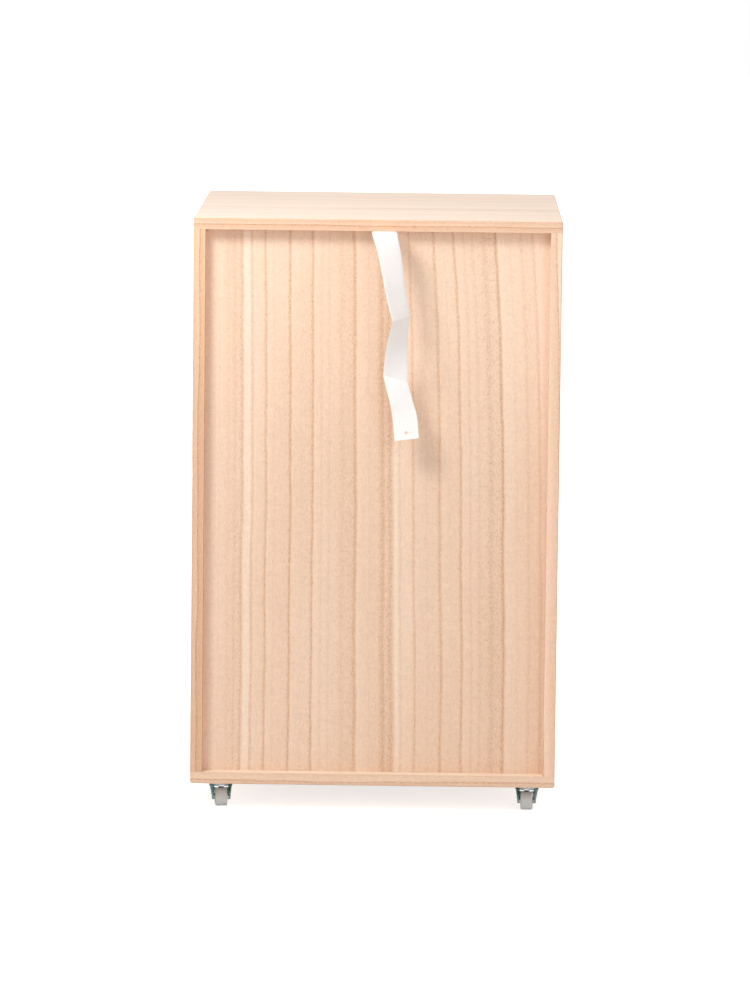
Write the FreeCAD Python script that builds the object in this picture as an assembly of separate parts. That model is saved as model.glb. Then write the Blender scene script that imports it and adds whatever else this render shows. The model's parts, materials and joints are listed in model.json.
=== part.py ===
import FreeCAD, Part
import math
import os

# Paper storage cabinet for 12 x 12 inch scrapbook sheets.
# Solid paulownia carcass on four swivel casters, six inset drawers on side runners,
# and an anti-tip strap screwed under the rear edge of the top board.
#
# Units are millimetres. +Z is up, the drawers open towards -Y, +X is the right hand of
# somebody facing the drawers. The origin is on the floor under the centre of the carcass.

os.makedirs("parts", exist_ok=True)

V = FreeCAD.Vector
X_AXIS = V(1, 0, 0)
Y_AXIS = V(0, 1, 0)
Z_AXIS = V(0, 0, 1)

# Carcass
carcass_w = 375.0
carcass_d = 375.0
carcass_h = 584.0
board_t = 12.0
caster_h = 27.0
outer_ease = 1.0
foot_ease = 1.5

# Back panel, let into grooves on all four sides
back_t = 5.0
back_recess = 15.0
back_groove_depth = 4.0
groove_play = 0.1
groove_end_play = 0.6

# Stopped tongues on the ends of the side boards, glued into grooves in the top and bottom
tongue_t = 5.0
tongue_h = 4.0
tongue_stop = 14.0
tongue_play = 0.1
tongue_end_play = 0.5

# Screw holes
hole_play = 0.05
hole_end_play = 0.5

# Drawers
drawer_count = 6
reveal = 2.0
front_t = 12.0
side_t = 9.0
side_h = 76.0
drawer_back_t = 9.0
drawer_rear_play = 5.0
front_rebate = 6.0
bottom_t = 3.0
bottom_up = 6.0
bottom_groove_depth = 4.0
bottom_edge_play = 0.5
bottom_corner = 2.0
bottom_groove_play = 0.2
edge_ease = 1.0

# Finger scoop in the upper edge of each front
scoop_w = 90.0
scoop_depth = 22.0
scoop_round = 1.5

# Runner strips, and the grooves they run in
runner_h = 10.0
runner_t = 6.5
runner_let_in = 2.0
runner_nose = 2.5
runner_up = 34.0
runner_front_gap = 13.0
runner_rear_gap = 3.0
runner_groove_depth = 5.0
runner_groove_play = 0.5
runner_stop_play = 0.5

# Swivel casters: stack heights above the floor, then radii and thicknesses
caster_in_y = 33.0
wheel_r = 9.5
wheel_w = 12.5
trail = 9.0
axle_r = 2.0
axle_run_play = 0.05
axle_stand_out = 1.2
sheet_t = 1.2
crown_r = 12.2
crown_under = 19.4
crown_t = 2.4
cheek_gap = 13.0
cheek_top_x = 11.2
cheek_top_half = 4.8
cheek_knee_z = 12.6
boss_r = 4.4
plate_size = 34.0
plate_corner = 3.0
plate_t = 1.5
dish_r = 10.8
rivet_r = 2.5
rivet_run_play = 0.06
rivet_head_r = 4.0
rivet_head_t = 1.2

# Casters are screwed on by eye and stand where they last rolled. Side and end of the carcass,
# how far the upright axis stands in from the side, and the angle of the fork about that axis.
caster_places = {
    "front_left": (-1, -1, 29.0, 6.0),
    "front_right": (1, -1, 29.0, -7.0),
    "rear_left": (-1, 1, 27.5, -3.0),
    "rear_right": (1, 1, 30.5, 5.0),
}

# Anti-tip strap, woven webbing folded flat in its packet and still creased.
# Each station places the middle of the strap: across, out from the boards' rear edges, and
# down from the underside of the top board. Then come how far the crosswise line is turned
# about the upright axis, and how far it is tipped, both in degrees.
strap_w = 25.0
strap_t = 1.2
strap_hole_r = 1.6
strap_tab_x = -6.0
strap_screw_in = 7.5
strap_tab_start = 1.5
strap_tab_out = 0.5
strap_stations = (
    (-6.2, 8.0, 0.0, 1.0, 0.0),
    (-6.6, 16.0, 1.0, 2.0, 1.0),
    (-7.6, 20.5, 5.5, 6.0, 2.0),
    (-11.7, 22.5, 20.6, 22.0, 1.0),
    (-17.0, 25.5, 51.0, 33.0, 2.0),
    (-21.3, 27.5, 73.0, 38.0, -2.0),
    (-24.6, 28.5, 86.5, 45.0, -9.0),
    (-21.0, 21.0, 112.0, 34.0, 3.0),
    (-19.0, 8.5, 149.4, 4.0, 13.0),
    (-25.8, 10.0, 173.8, 16.0, 3.0),
    (-29.2, 11.5, 189.0, 6.0, -3.0),
    (-31.4, 15.5, 211.0, 4.0, -7.0),
)
strap_hole_up = 7.0
strap_bore_reach = 3.0
strap_screw_r = 1.8
strap_screw_head_r = 4.2
strap_screw_head_t = 2.2
strap_screw_in_board = 7.5

# Heights and planes that follow from the sizes above
half_w = carcass_w / 2
half_d = carcass_d / 2
z_foot = caster_h
z_floor = z_foot + board_t
z_top = z_foot + carcass_h
z_ceiling = z_top - board_t
x_wall = half_w - board_t
y_back_rear = half_d - back_recess
y_back_front = y_back_rear - back_t
opening_h = z_ceiling - z_floor
front_h = (opening_h - (drawer_count + 1) * reveal) / drawer_count
drawer_pitch = front_h + reveal
x_drawer = x_wall - reveal
x_drawer_in = x_drawer - side_t
y_front = -half_d
y_front_in = y_front + front_t
y_drawer_rear = y_back_front - drawer_rear_play
x_runner = x_wall - runner_t
y_runner_front = y_front_in + runner_front_gap
y_runner_rear = y_drawer_rear - runner_rear_gap
y_caster = half_d - caster_in_y
crown_top = crown_under + crown_t
race_under = crown_top
plate_under = caster_h - plate_t
cheek_in = cheek_gap / 2
cheek_out = cheek_in + sheet_t
y_strap_screw = half_d - strap_screw_in


def box(x0, x1, y0, y1, z0, z1):
    return Part.makeBox(x1 - x0, y1 - y0, z1 - z0, V(x0, y0, z0))


def edges_on(shape, axis, value):
    # Edges that lie wholly in one plane square to an axis (0 = X, 1 = Y, 2 = Z).
    found = []
    for edge in shape.Edges:
        b = edge.BoundBox
        low = (b.XMin, b.YMin, b.ZMin)[axis]
        high = (b.XMax, b.YMax, b.ZMax)[axis]
        if abs(low - value) < 1e-4 and abs(high - value) < 1e-4:
            found.append(edge)
    return found


def edges_along(shape, axis, fixed):
    # Straight edges along an axis, at the two given coordinates of the other axes.
    found = []
    for edge in edges_on(shape, fixed[0][0], fixed[0][1]):
        b = edge.BoundBox
        low = (b.XMin, b.YMin, b.ZMin)[fixed[1][0]]
        high = (b.XMax, b.YMax, b.ZMax)[fixed[1][0]]
        if abs(low - fixed[1][1]) < 1e-4 and abs(high - fixed[1][1]) < 1e-4:
            found.append(edge)
    return found


def save(name, shape):
    if not shape.isValid():
        raise ValueError(name + " isn't a valid shape")
    shape.exportStep("parts/" + name + ".step")


# ---------------------------------------------------------------- carcass boards


x_tongue_in = half_w - board_t / 2 - tongue_t / 2
x_tongue_out = x_tongue_in + tongue_t
y_tongue = half_d - tongue_stop
y_groove_front = y_back_front - groove_play
y_groove_rear = y_back_rear + groove_play
x_groove = x_wall + back_groove_depth


def flat_board(z0, outer_face, outer_size):
    # Top or bottom board: full width and depth, with its outer arrises eased.
    board = box(-half_w, half_w, -half_d, half_d, z0, z0 + board_t)
    corners = []
    for x in (-half_w, half_w):
        for y in (-half_d, half_d):
            corners += edges_along(board, 2, ((0, x), (1, y)))
    board = board.makeChamfer(outer_ease, corners)
    return board.makeChamfer(outer_size, edges_on(board, 2, outer_face))


def with_grooves(board, z_low, z_high, z_tongue_low, z_tongue_high):
    # Groove for the back panel, then one stopped groove for each side board's tongue.
    board = board.cut(box(-x_groove, x_groove, y_groove_front, y_groove_rear, z_low, z_high))
    x0 = x_tongue_in - tongue_play
    x1 = x_tongue_out + tongue_play
    y1 = y_tongue + tongue_end_play
    board = board.cut(box(x0, x1, -y1, y1, z_tongue_low, z_tongue_high))
    return board.cut(box(-x1, -x0, -y1, y1, z_tongue_low, z_tongue_high))


tongue_room = tongue_h + tongue_end_play
top = flat_board(z_ceiling, z_top, outer_ease)
top = with_grooves(top, z_ceiling, z_ceiling + back_groove_depth, z_ceiling, z_ceiling + tongue_room)
strap_pilot = strap_screw_in_board + hole_end_play
pilot_at = V(strap_tab_x, y_strap_screw, z_ceiling)
top = top.cut(Part.makeCylinder(strap_screw_r + hole_play, strap_pilot, pilot_at))
bottom = flat_board(z_foot, z_foot, foot_ease)
bottom = with_grooves(bottom, z_floor - back_groove_depth, z_floor, z_floor - tongue_room, z_floor)
save("top_panel", top)
save("bottom_panel", bottom)


def drawer_z(index):
    return z_floor + reveal + index * drawer_pitch


def side_board(side):
    # Built at +X, then mirrored for the left.
    board = box(x_wall, half_w, -half_d, half_d, z_floor, z_ceiling)
    outer = edges_along(board, 2, ((0, half_w), (1, -half_d)))
    outer += edges_along(board, 2, ((0, half_w), (1, half_d)))
    board = board.makeChamfer(outer_ease, outer)
    board = board.cut(box(x_wall, x_groove, y_groove_front, y_groove_rear, z_floor, z_ceiling))
    for index in range(drawer_count):
        z0 = drawer_z(index) + runner_up
        x1 = x_wall + runner_let_in
        board = board.cut(box(x_wall, x1, y_runner_front, y_runner_rear, z0, z0 + runner_h))
    tongue_z0 = z_floor - tongue_h
    tongue_z1 = z_ceiling + tongue_h
    board = board.fuse(box(x_tongue_in, x_tongue_out, -y_tongue, y_tongue, tongue_z0, z_floor))
    board = board.fuse(box(x_tongue_in, x_tongue_out, -y_tongue, y_tongue, z_ceiling, tongue_z1))
    # The back panel's corners pass through the tongues' inner edges.
    board = board.removeSplitter()
    board = board.cut(box(x_wall, x_groove, y_groove_front, y_groove_rear, tongue_z0, tongue_z1))
    if side < 0:
        board = board.mirror(V(0, 0, 0), X_AXIS)
    return board


save("left_side_panel", side_board(-1))
save("right_side_panel", side_board(1))

# The back stands on the floor of the lower groove and has room to swell above and beside.
x_back = x_groove - groove_end_play
z_back = z_floor - back_groove_depth
z_back_top = z_ceiling + back_groove_depth - groove_end_play
back = box(-x_back, x_back, y_back_front, y_back_rear, z_back, z_back_top)
save("back_panel", back)

# ---------------------------------------------------------------- runners


def runner(z0):
    # Planed strip let into the side board, its leading end tapered so that the drawer finds it.
    # Only the free part of the strip is tapered; the let-in part keeps its full outline.
    free = box(x_runner, x_wall, y_runner_front, y_runner_rear, z0, z0 + runner_h)
    tip = []
    for z in (z0, z0 + runner_h):
        tip += edges_along(free, 0, ((1, y_runner_front), (2, z)))
    free = free.makeChamfer(runner_nose, tip)
    root = box(x_wall, x_wall + runner_let_in, y_runner_front, y_runner_rear, z0, z0 + runner_h)
    return free.fuse(root).removeSplitter()


right_runners = []
for index in range(drawer_count):
    right_runners.append(runner(drawer_z(index) + runner_up))
right_runners = Part.makeCompound(right_runners)
save("right_runners", right_runners)
save("left_runners", right_runners.mirror(V(0, 0, 0), X_AXIS))

# ---------------------------------------------------------------- drawers


def drawer_front(z0):
    z1 = z0 + front_h
    board = box(-x_drawer, x_drawer, y_front, y_front_in, z0, z1)
    radius = ((scoop_w / 2) ** 2 + scoop_depth ** 2) / (2 * scoop_depth)
    centre = V(0, y_front, z1 - scoop_depth + radius)
    board = board.cut(Part.makeCylinder(radius, front_t, centre, Y_AXIS))
    scoop_edges = []
    for y in (y_front, y_front_in):
        for edge in edges_on(board, 1, y):
            if edge.Curve.TypeId == "Part::GeomCircle":
                scoop_edges.append(edge)
    board = board.makeChamfer(scoop_round, scoop_edges)
    outline = []
    for edge in edges_on(board, 1, y_front):
        b = edge.BoundBox
        if b.ZMax - b.ZMin < 1e-4 or b.XMax - b.XMin < 1e-4:
            outline.append(edge)
    board = board.makeChamfer(edge_ease * 0.7, outline)
    for side in (-1, 1):
        x0, x1 = sorted((side * x_drawer_in, side * (x_drawer + 1)))
        board = board.cut(box(x0, x1, y_front + front_rebate, y_front_in + 1, z0 - 1, z0 + side_h))
    groove_z = z0 + bottom_up
    groove_top = groove_z + bottom_t + bottom_groove_play
    y_groove = y_front_in - bottom_groove_depth
    return board.cut(box(-x_drawer_in, x_drawer_in, y_groove, y_front_in, groove_z, groove_top))


def drawer_side(side, z0):
    y0 = y_front + front_rebate
    board = box(x_drawer_in, x_drawer, y0, y_drawer_rear, z0, z0 + side_h)
    rims = []
    for x in (x_drawer_in, x_drawer):
        rims += edges_along(board, 1, ((0, x), (2, z0 + side_h)))
    board = board.makeChamfer(edge_ease, rims)
    # Groove for the runner: stopped at the front, open at the rear.
    g0 = z0 + runner_up - runner_groove_play
    g1 = z0 + runner_up + runner_h
    y_stop = y_runner_front - runner_stop_play
    x0 = x_drawer - runner_groove_depth
    board = board.cut(box(x0, x_drawer + 1, y_stop, y_drawer_rear + 1, g0, g1))
    groove_z = z0 + bottom_up
    groove_top = groove_z + bottom_t + bottom_groove_play
    groove_x = x_drawer_in + bottom_groove_depth
    board = board.cut(box(x_drawer_in, groove_x, y0, y_drawer_rear, groove_z, groove_top))
    if side < 0:
        board = board.mirror(V(0, 0, 0), X_AXIS)
    return board


def drawer_back(z0):
    z_low = z0 + bottom_up + bottom_t
    board = box(-x_drawer_in, x_drawer_in, y_drawer_rear - drawer_back_t, y_drawer_rear, z_low, z0 + side_h)
    rims = []
    for y in (y_drawer_rear - drawer_back_t, y_drawer_rear):
        rims += edges_along(board, 0, ((1, y), (2, z0 + side_h)))
    return board.makeChamfer(edge_ease, rims)


def drawer_bottom(z0):
    x = x_drawer_in + bottom_groove_depth - bottom_edge_play
    y0 = y_front_in - bottom_groove_depth + bottom_edge_play
    z_low = z0 + bottom_up
    sheet = box(-x, x, y0, y_drawer_rear, z_low, z_low + bottom_t)
    # Corners cut back a little so that the sheet slides into its grooves.
    front_corners = []
    for sx in (-x, x):
        front_corners += edges_along(sheet, 2, ((0, sx), (1, y0)))
    return sheet.makeChamfer(bottom_corner, front_corners)


for index in range(drawer_count):
    z0 = drawer_z(index)
    name = "drawer_%d_" % (index + 1)
    save(name + "front", drawer_front(z0))
    save(name + "left_side", drawer_side(-1, z0))
    save(name + "right_side", drawer_side(1, z0))
    save(name + "back", drawer_back(z0))
    save(name + "bottom", drawer_bottom(z0))

# ---------------------------------------------------------------- swivel casters
# Each caster is built with its upright axis on the origin and its wheel trailing
# towards +Y, then turned and carried to its corner.


def caster_plate():
    # Pressed plate: a square flange, which carries a screw in each corner, round a drawn dish.
    half = plate_size / 2
    plate = box(-half, half, -half, half, plate_under, caster_h)
    corners = []
    for x in (-half, half):
        for y in (-half, half):
            corners += edges_along(plate, 2, ((0, x), (1, y)))
    plate = plate.makeChamfer(plate_corner, corners)
    plate = plate.fuse(Part.makeCylinder(dish_r, plate_under - race_under, V(0, 0, race_under)))
    return plate.cut(Part.makeCylinder(rivet_r + hole_play, caster_h - race_under, V(0, 0, race_under)))


def king_rivet():
    shank = Part.makeCylinder(rivet_r, caster_h - crown_under, V(0, 0, crown_under))
    low = Part.makeCylinder(rivet_head_r, rivet_head_t, V(0, 0, crown_under - rivet_head_t))
    return shank.fuse(low)


def fork_cheek():
    # Flared upper panel, from the crown down and back to the knee, then a flat eye for the axle.
    y0 = trail - boss_r
    y1 = trail + boss_r
    outline = [
        V(cheek_top_x, -cheek_top_half, crown_under),
        V(cheek_top_x, cheek_top_half, crown_under),
        V(cheek_out, y1, cheek_knee_z),
        V(cheek_out, y0, cheek_knee_z),
    ]
    flare = Part.Face(Part.makePolygon(outline + outline[:1])).extrude(V(-sheet_t, 0, 0))
    flat = box(cheek_in, cheek_out, y0, y1, wheel_r, cheek_knee_z)
    eye = Part.makeCylinder(boss_r, sheet_t, V(cheek_in, trail, wheel_r), X_AXIS)
    eye = eye.cut(box(cheek_in, cheek_out, y0, y1, wheel_r, wheel_r + boss_r))
    return flare.fuse(flat).fuse(eye)


def caster_fork():
    # Round crown, and a cheek that comes down on each side of the wheel.
    crown = Part.makeCylinder(crown_r, crown_t, V(0, 0, crown_under))
    cheek = fork_cheek()
    fork = crown.fuse(cheek).fuse(cheek.mirror(V(0, 0, 0), X_AXIS)).removeSplitter()
    fork = fork.cut(Part.makeCylinder(rivet_r + rivet_run_play, crown_t, V(0, 0, crown_under)))
    bore = Part.makeCylinder(axle_r + hole_play, 2 * cheek_out, V(-cheek_out, trail, wheel_r), X_AXIS)
    return fork.cut(bore)


def caster_axle():
    # Plain pin whose ends are peened over outside the cheeks.
    x0 = cheek_out + axle_stand_out
    return Part.makeCylinder(axle_r, 2 * x0, V(-x0, trail, wheel_r), X_AXIS)


def caster_wheel():
    half = wheel_w / 2
    wheel = Part.makeCylinder(wheel_r, wheel_w, V(-half, trail, wheel_r), X_AXIS)
    return wheel.cut(Part.makeCylinder(axle_r + axle_run_play, wheel_w, V(-half, trail, wheel_r), X_AXIS))


def placed(shape, side, end, in_x, angle):
    moved = shape.copy()
    moved.rotate(V(0, 0, 0), Z_AXIS, angle)
    moved.translate(V(side * (half_w - in_x), end * y_caster, 0))
    return moved


plate = caster_plate()
fork = caster_fork()
axle = caster_axle()
wheel = caster_wheel()
rivet = king_rivet()
all_rivets = []
for name, (side, end, in_x, angle) in caster_places.items():
    save("caster_plate_" + name, placed(plate, side, end, in_x, 0.0))
    save("caster_fork_" + name, placed(fork, side, end, in_x, angle))
    save("caster_axle_" + name, placed(axle, side, end, in_x, angle))
    save("caster_wheel_" + name, placed(wheel, side, end, in_x, angle))
    all_rivets.append(placed(rivet, side, end, in_x, 0.0))
save("caster_king_rivets", Part.makeCompound(all_rivets))

# ---------------------------------------------------------------- anti-tip strap


def crosswise(turn, tip):
    a = math.radians(turn)
    b = math.radians(tip)
    return V(math.cos(a) * math.cos(b), math.sin(a) * math.cos(b), math.sin(b))


def strap_sections():
    # The tab lies flat under the top board, then the strap turns down past the rear edge.
    z_tab = z_ceiling - strap_t / 2
    rows = [(strap_tab_x, y_back_rear + strap_tab_start, z_tab, 0.0, 0.0)]
    rows.append((strap_tab_x, half_d + strap_tab_out, z_tab, 0.0, 0.0))
    for x, out, down, turn, tip in strap_stations:
        rows.append((x, half_d + out, z_ceiling - down, turn, tip))
    centres = [V(r[0], r[1], r[2]) for r in rows]
    across = [crosswise(r[3], r[4]) for r in rows]
    sections = []
    for i, centre in enumerate(centres):
        before = centres[max(i - 1, 0)]
        after = centres[min(i + 1, len(centres) - 1)]
        if i == 1:
            # End of the flat tab: square to the tab itself.
            after = centre
        if i == len(centres) - 2:
            # Start of the flat free end, which is bored for a screw.
            before = centre
        along = after.sub(before)
        normal = across[i].cross(along)
        normal.normalize()
        w = across[i].multiply(strap_w / 2)
        t = normal.multiply(strap_t / 2)
        corners = [centre.add(w).add(t), centre.sub(w).add(t), centre.sub(w).sub(t), centre.add(w).sub(t)]
        sections.append(corners)
    return sections, centres


def folded_ribbon(sections):
    # A twisted stretch of webbing creases along its diagonal, so each side is two triangles.
    faces = []
    for start, end in zip(sections, sections[1:]):
        for a in range(4):
            b = (a + 1) % 4
            faces.append(Part.Face(Part.makePolygon([start[a], start[b], end[b], start[a]])))
            faces.append(Part.Face(Part.makePolygon([start[a], end[b], end[a], start[a]])))
    for cap in (sections[0], sections[-1]):
        faces.append(Part.Face(Part.makePolygon(cap + cap[:1])))
    ribbon = Part.makeSolid(Part.makeShell(faces))
    if ribbon.Volume < 0:
        ribbon.reverse()
    return ribbon.removeSplitter()


sections, centres = strap_sections()
strap = folded_ribbon(sections)
end_along = centres[-1].sub(centres[-2])
end_across = crosswise(strap_stations[-1][3], strap_stations[-1][4])
end_normal = end_across.cross(end_along)
end_normal.normalize()
end_along.normalize()
hole_at = centres[-1].sub(V(end_along).multiply(strap_hole_up))
bore_from = hole_at.sub(V(end_normal).multiply(strap_bore_reach))
strap = strap.cut(Part.makeCylinder(strap_hole_r, 2 * strap_bore_reach, bore_from, end_normal))
tab_hole_at = V(strap_tab_x, y_strap_screw, z_ceiling - strap_t)
tab_hole = Part.makeCylinder(strap_screw_r + hole_play, strap_t, tab_hole_at)
strap = strap.cut(tab_hole)
save("anti_tip_strap", strap)

z_tab_under = z_ceiling - strap_t
z_head = z_tab_under - strap_screw_head_t
shank_h = strap_t + strap_screw_in_board
head = Part.makeCylinder(strap_screw_head_r, strap_screw_head_t, V(strap_tab_x, y_strap_screw, z_head))
shank = Part.makeCylinder(strap_screw_r, shank_h, V(strap_tab_x, y_strap_screw, z_tab_under))
save("strap_screw", head.fuse(shank))

print("strap hole at", [round(v, 3) for v in hole_at], "normal", [round(v, 5) for v in end_normal])
print("parts written:", len(os.listdir("parts")))
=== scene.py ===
import json
import math

import bmesh
import bpy
from mathutils import Matrix, Vector


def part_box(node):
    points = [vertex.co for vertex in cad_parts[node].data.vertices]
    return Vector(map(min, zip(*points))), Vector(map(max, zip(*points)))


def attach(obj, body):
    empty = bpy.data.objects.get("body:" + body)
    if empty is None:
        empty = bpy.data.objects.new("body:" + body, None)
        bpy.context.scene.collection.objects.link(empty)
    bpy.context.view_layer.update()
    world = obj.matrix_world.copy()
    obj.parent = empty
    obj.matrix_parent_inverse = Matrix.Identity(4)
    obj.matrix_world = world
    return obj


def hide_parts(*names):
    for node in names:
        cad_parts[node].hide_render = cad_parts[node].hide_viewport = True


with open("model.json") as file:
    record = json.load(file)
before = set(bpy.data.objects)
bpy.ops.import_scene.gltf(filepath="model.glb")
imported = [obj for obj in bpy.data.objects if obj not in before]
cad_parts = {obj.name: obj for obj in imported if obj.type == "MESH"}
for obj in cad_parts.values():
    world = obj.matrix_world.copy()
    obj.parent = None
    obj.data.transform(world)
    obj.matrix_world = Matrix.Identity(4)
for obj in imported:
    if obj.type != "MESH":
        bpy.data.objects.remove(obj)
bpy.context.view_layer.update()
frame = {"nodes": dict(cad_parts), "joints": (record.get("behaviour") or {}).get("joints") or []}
mm = 0.001
drawerNumbers = range(1, 7)
print("frame loaded:", len(frame["nodes"]), "nodes")

view = {
    "lens": 185.242,
    "shiftY": -0.06,
    "place": (-0.0539, 5.3981, 1.0182),
    "yaw": 0.603,      # degrees, turned towards +X
    "pitch": -6.924,
    "roll": 0.641,
}


def aimCamera(settings):
    yaw, pitch, roll = (math.radians(settings[k]) for k in ("yaw", "pitch", "roll"))
    ahead = Vector((math.sin(yaw) * math.cos(pitch), -math.cos(yaw) * math.cos(pitch), math.sin(pitch)))
    right = ahead.cross(Vector((0, 0, 1))).normalized()
    up = right.cross(ahead)
    turnedRight = right * math.cos(roll) + up * math.sin(roll)
    turnedUp = up * math.cos(roll) - right * math.sin(roll)
    data = bpy.data.cameras.new("camera")
    data.lens = settings["lens"]
    data.sensor_width = 36
    data.shift_y = settings["shiftY"]
    data.clip_end = 100
    camera = bpy.data.objects.new("camera", data)
    bpy.context.scene.collection.objects.link(camera)
    axes = Matrix((turnedRight, turnedUp, -ahead)).transposed().to_4x4()
    camera.matrix_world = Matrix.Translation(Vector(settings["place"])) @ axes
    bpy.context.scene.camera = camera


aimCamera(view)
bpy.context.scene.view_settings.view_transform = "Standard"
print("camera placed")


def shade(red, green, blue):
    # Screen colour, 0 to 255, as the linear colour that nodes take.
    linear = []
    for value in (red, green, blue):
        c = value / 255
        linear.append(c / 12.92 if c <= 0.04045 else ((c + 0.055) / 1.055) ** 2.4)
    return (*linear, 1)


def put(tree, socket, value):
    if isinstance(value, bpy.types.NodeSocket):
        tree.links.new(value, socket)
    else:
        socket.default_value = value


def calc(tree, operation, *values):
    node = tree.nodes.new("ShaderNodeMath")
    node.operation = operation
    for socket, value in zip(node.inputs, values):
        put(tree, socket, value)
    return node.outputs[0]


def blendColours(tree, amount, first, second, kind="MIX"):
    node = tree.nodes.new("ShaderNodeMix")
    node.data_type = "RGBA"
    node.blend_type = kind
    put(tree, node.inputs[0], amount)
    put(tree, node.inputs[6], first)
    put(tree, node.inputs[7], second)
    return node.outputs[2]


def between(tree, value, low, high, toLow=0.0, toHigh=1.0):
    node = tree.nodes.new("ShaderNodeMapRange")
    node.interpolation_type = "SMOOTHSTEP"
    for socket, v in zip(node.inputs, (value, low, high, toLow, toHigh)):
        put(tree, socket, v)
    return node.outputs[0]


def noise(tree, vector, scale, detail=2.0, rough=0.5):
    node = tree.nodes.new("ShaderNodeTexNoise")
    put(tree, node.inputs["Vector"], vector)
    node.inputs["Scale"].default_value = scale
    node.inputs["Detail"].default_value = detail
    node.inputs["Roughness"].default_value = rough
    return node.outputs[0]


def vectorOf(tree, x, y, z):
    node = tree.nodes.new("ShaderNodeCombineXYZ")
    for socket, v in zip(node.inputs, (x, y, z)):
        put(tree, socket, v)
    return node.outputs[0]


def ramp(tree, value, stops):
    node = tree.nodes.new("ShaderNodeValToRGB")
    put(tree, node.inputs[0], value)
    points = node.color_ramp.elements
    while len(points) < len(stops):
        points.new(0.5)
    for point, (place, colour) in zip(points, sorted(stops, key=lambda stop: stop[0])):
        point.position = place
        point.color = colour
    return node.outputs[0]


def grey(level):
    return (level, level, level, 1)


def startMaterial(name):
    material = bpy.data.materials.new(name)
    material.use_nodes = True
    tree = material.node_tree
    tree.nodes.clear()
    out = tree.nodes.new("ShaderNodeOutputMaterial")
    shader = tree.nodes.new("ShaderNodeBsdfPrincipled")
    tree.links.new(shader.outputs[0], out.inputs[0])
    return material, tree, shader


def millimetres(tree):
    # Object coordinates in millimetres, as three separate numbers.
    coords = tree.nodes.new("ShaderNodeTexCoord")
    split = tree.nodes.new("ShaderNodeSeparateXYZ")
    tree.links.new(coords.outputs["Object"], split.inputs[0])
    return [calc(tree, "MULTIPLY", axis, 1000.0) for axis in split.outputs]


def centred(tree, value):
    # A value from 0 to 1, moved to lie about zero.
    return calc(tree, "SUBTRACT", value, 0.5)


def addBump(tree, shader, height, strength, distance):
    node = tree.nodes.new("ShaderNodeBump")
    node.inputs["Strength"].default_value = strength
    node.inputs["Distance"].default_value = distance
    tree.links.new(height, node.inputs["Height"])
    tree.links.new(node.outputs[0], shader.inputs["Normal"])


paulownia = {
    "light": (251, 228, 208),
    "body": (245, 215, 191),
    "late": (234, 198, 170),
    "line": (212, 157, 112),
    "pore": (190, 138, 100),
    "joint": (222, 182, 152),
    "warm": (246, 240, 234),
    "roughness": 0.55,
}

backPanel = {"top": 599.0, "edge": 175.5, "width": 351.0}      # its upper edge and its +X edge

# The back panel's own growth lines, measured across it from its +X edge at the top, in
# millimetres: place, how dark, how wide.
backLines = (
    (14, 0.25, 0.8), (23, 0.2, 0.8), (30, 0.25, 1.2), (37.5, 0.8, 1.1), (47.5, 0.85, 1.1),
    (61.5, 0.95, 1.0), (70, 0.15, 0.8), (86.5, 1.0, 1.1), (98, 0.15, 0.8), (109.5, 0.95, 1.1),
    (118.5, 0.3, 1.0), (126, 0.25, 0.9), (139, 0.2, 2.2), (151.5, 1.0, 1.2), (165, 0.2, 0.8),
    (177, 0.6, 2.2), (184, 0.45, 1.8), (192.8, 0.6, 1.1), (205.8, 0.7, 1.1), (218, 0.15, 0.8),
    (231, 0.9, 1.2), (241, 0.15, 0.8), (252, 0.9, 1.2), (262, 0.3, 1.2), (271, 0.25, 1.6),
    (283, 0.3, 2.4), (295, 1.0, 1.3), (309, 0.2, 0.9), (321, 0.3, 1.6), (333, 0.6, 1.5),
)
# Tone of the wood between those lines: place, 0 for late and porous, 1 for light and clear.
backTones = (
    (0, 0.55), (12, 0.85), (27, 0.35), (36, 0.2), (39, 0.95), (45, 1.0), (48.5, 0.7), (60, 0.5),
    (63, 0.7), (85, 0.35), (88, 0.6), (108, 0.3), (111, 0.7), (130, 0.45), (150, 0.15),
    (153, 0.75), (168, 0.4), (186, 0.12), (188, 1.0), (192, 1.0), (194, 0.75), (230, 0.4),
    (233, 0.6), (251, 0.4), (254, 0.65), (282, 0.2), (294, 0.15), (297, 0.75), (314, 0.6),
    (326, 0.42), (334, 0.85), (351, 0.5),
)


def lineRamps(tree, place, growthLines, span):
    # A ramp holds 32 stops, so the growth lines are shared out over several ramps.
    total = None
    for start in range(0, len(growthLines), 9):
        stops = [(0.0, grey(0)), (1.0, grey(0))]
        for centre, dark, width in growthLines[start:start + 9]:
            # A line comes up slowly on its porous side and ends sooner on the other.
            stops.append(((centre - 2.1 * width) / span, grey(0)))
            stops.append((centre / span, grey(dark)))
            stops.append(((centre + 1.2 * width) / span, grey(0)))
        part = ramp(tree, place, stops)
        total = part if total is None else calc(tree, "MAXIMUM", total, part)
    return total


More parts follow.
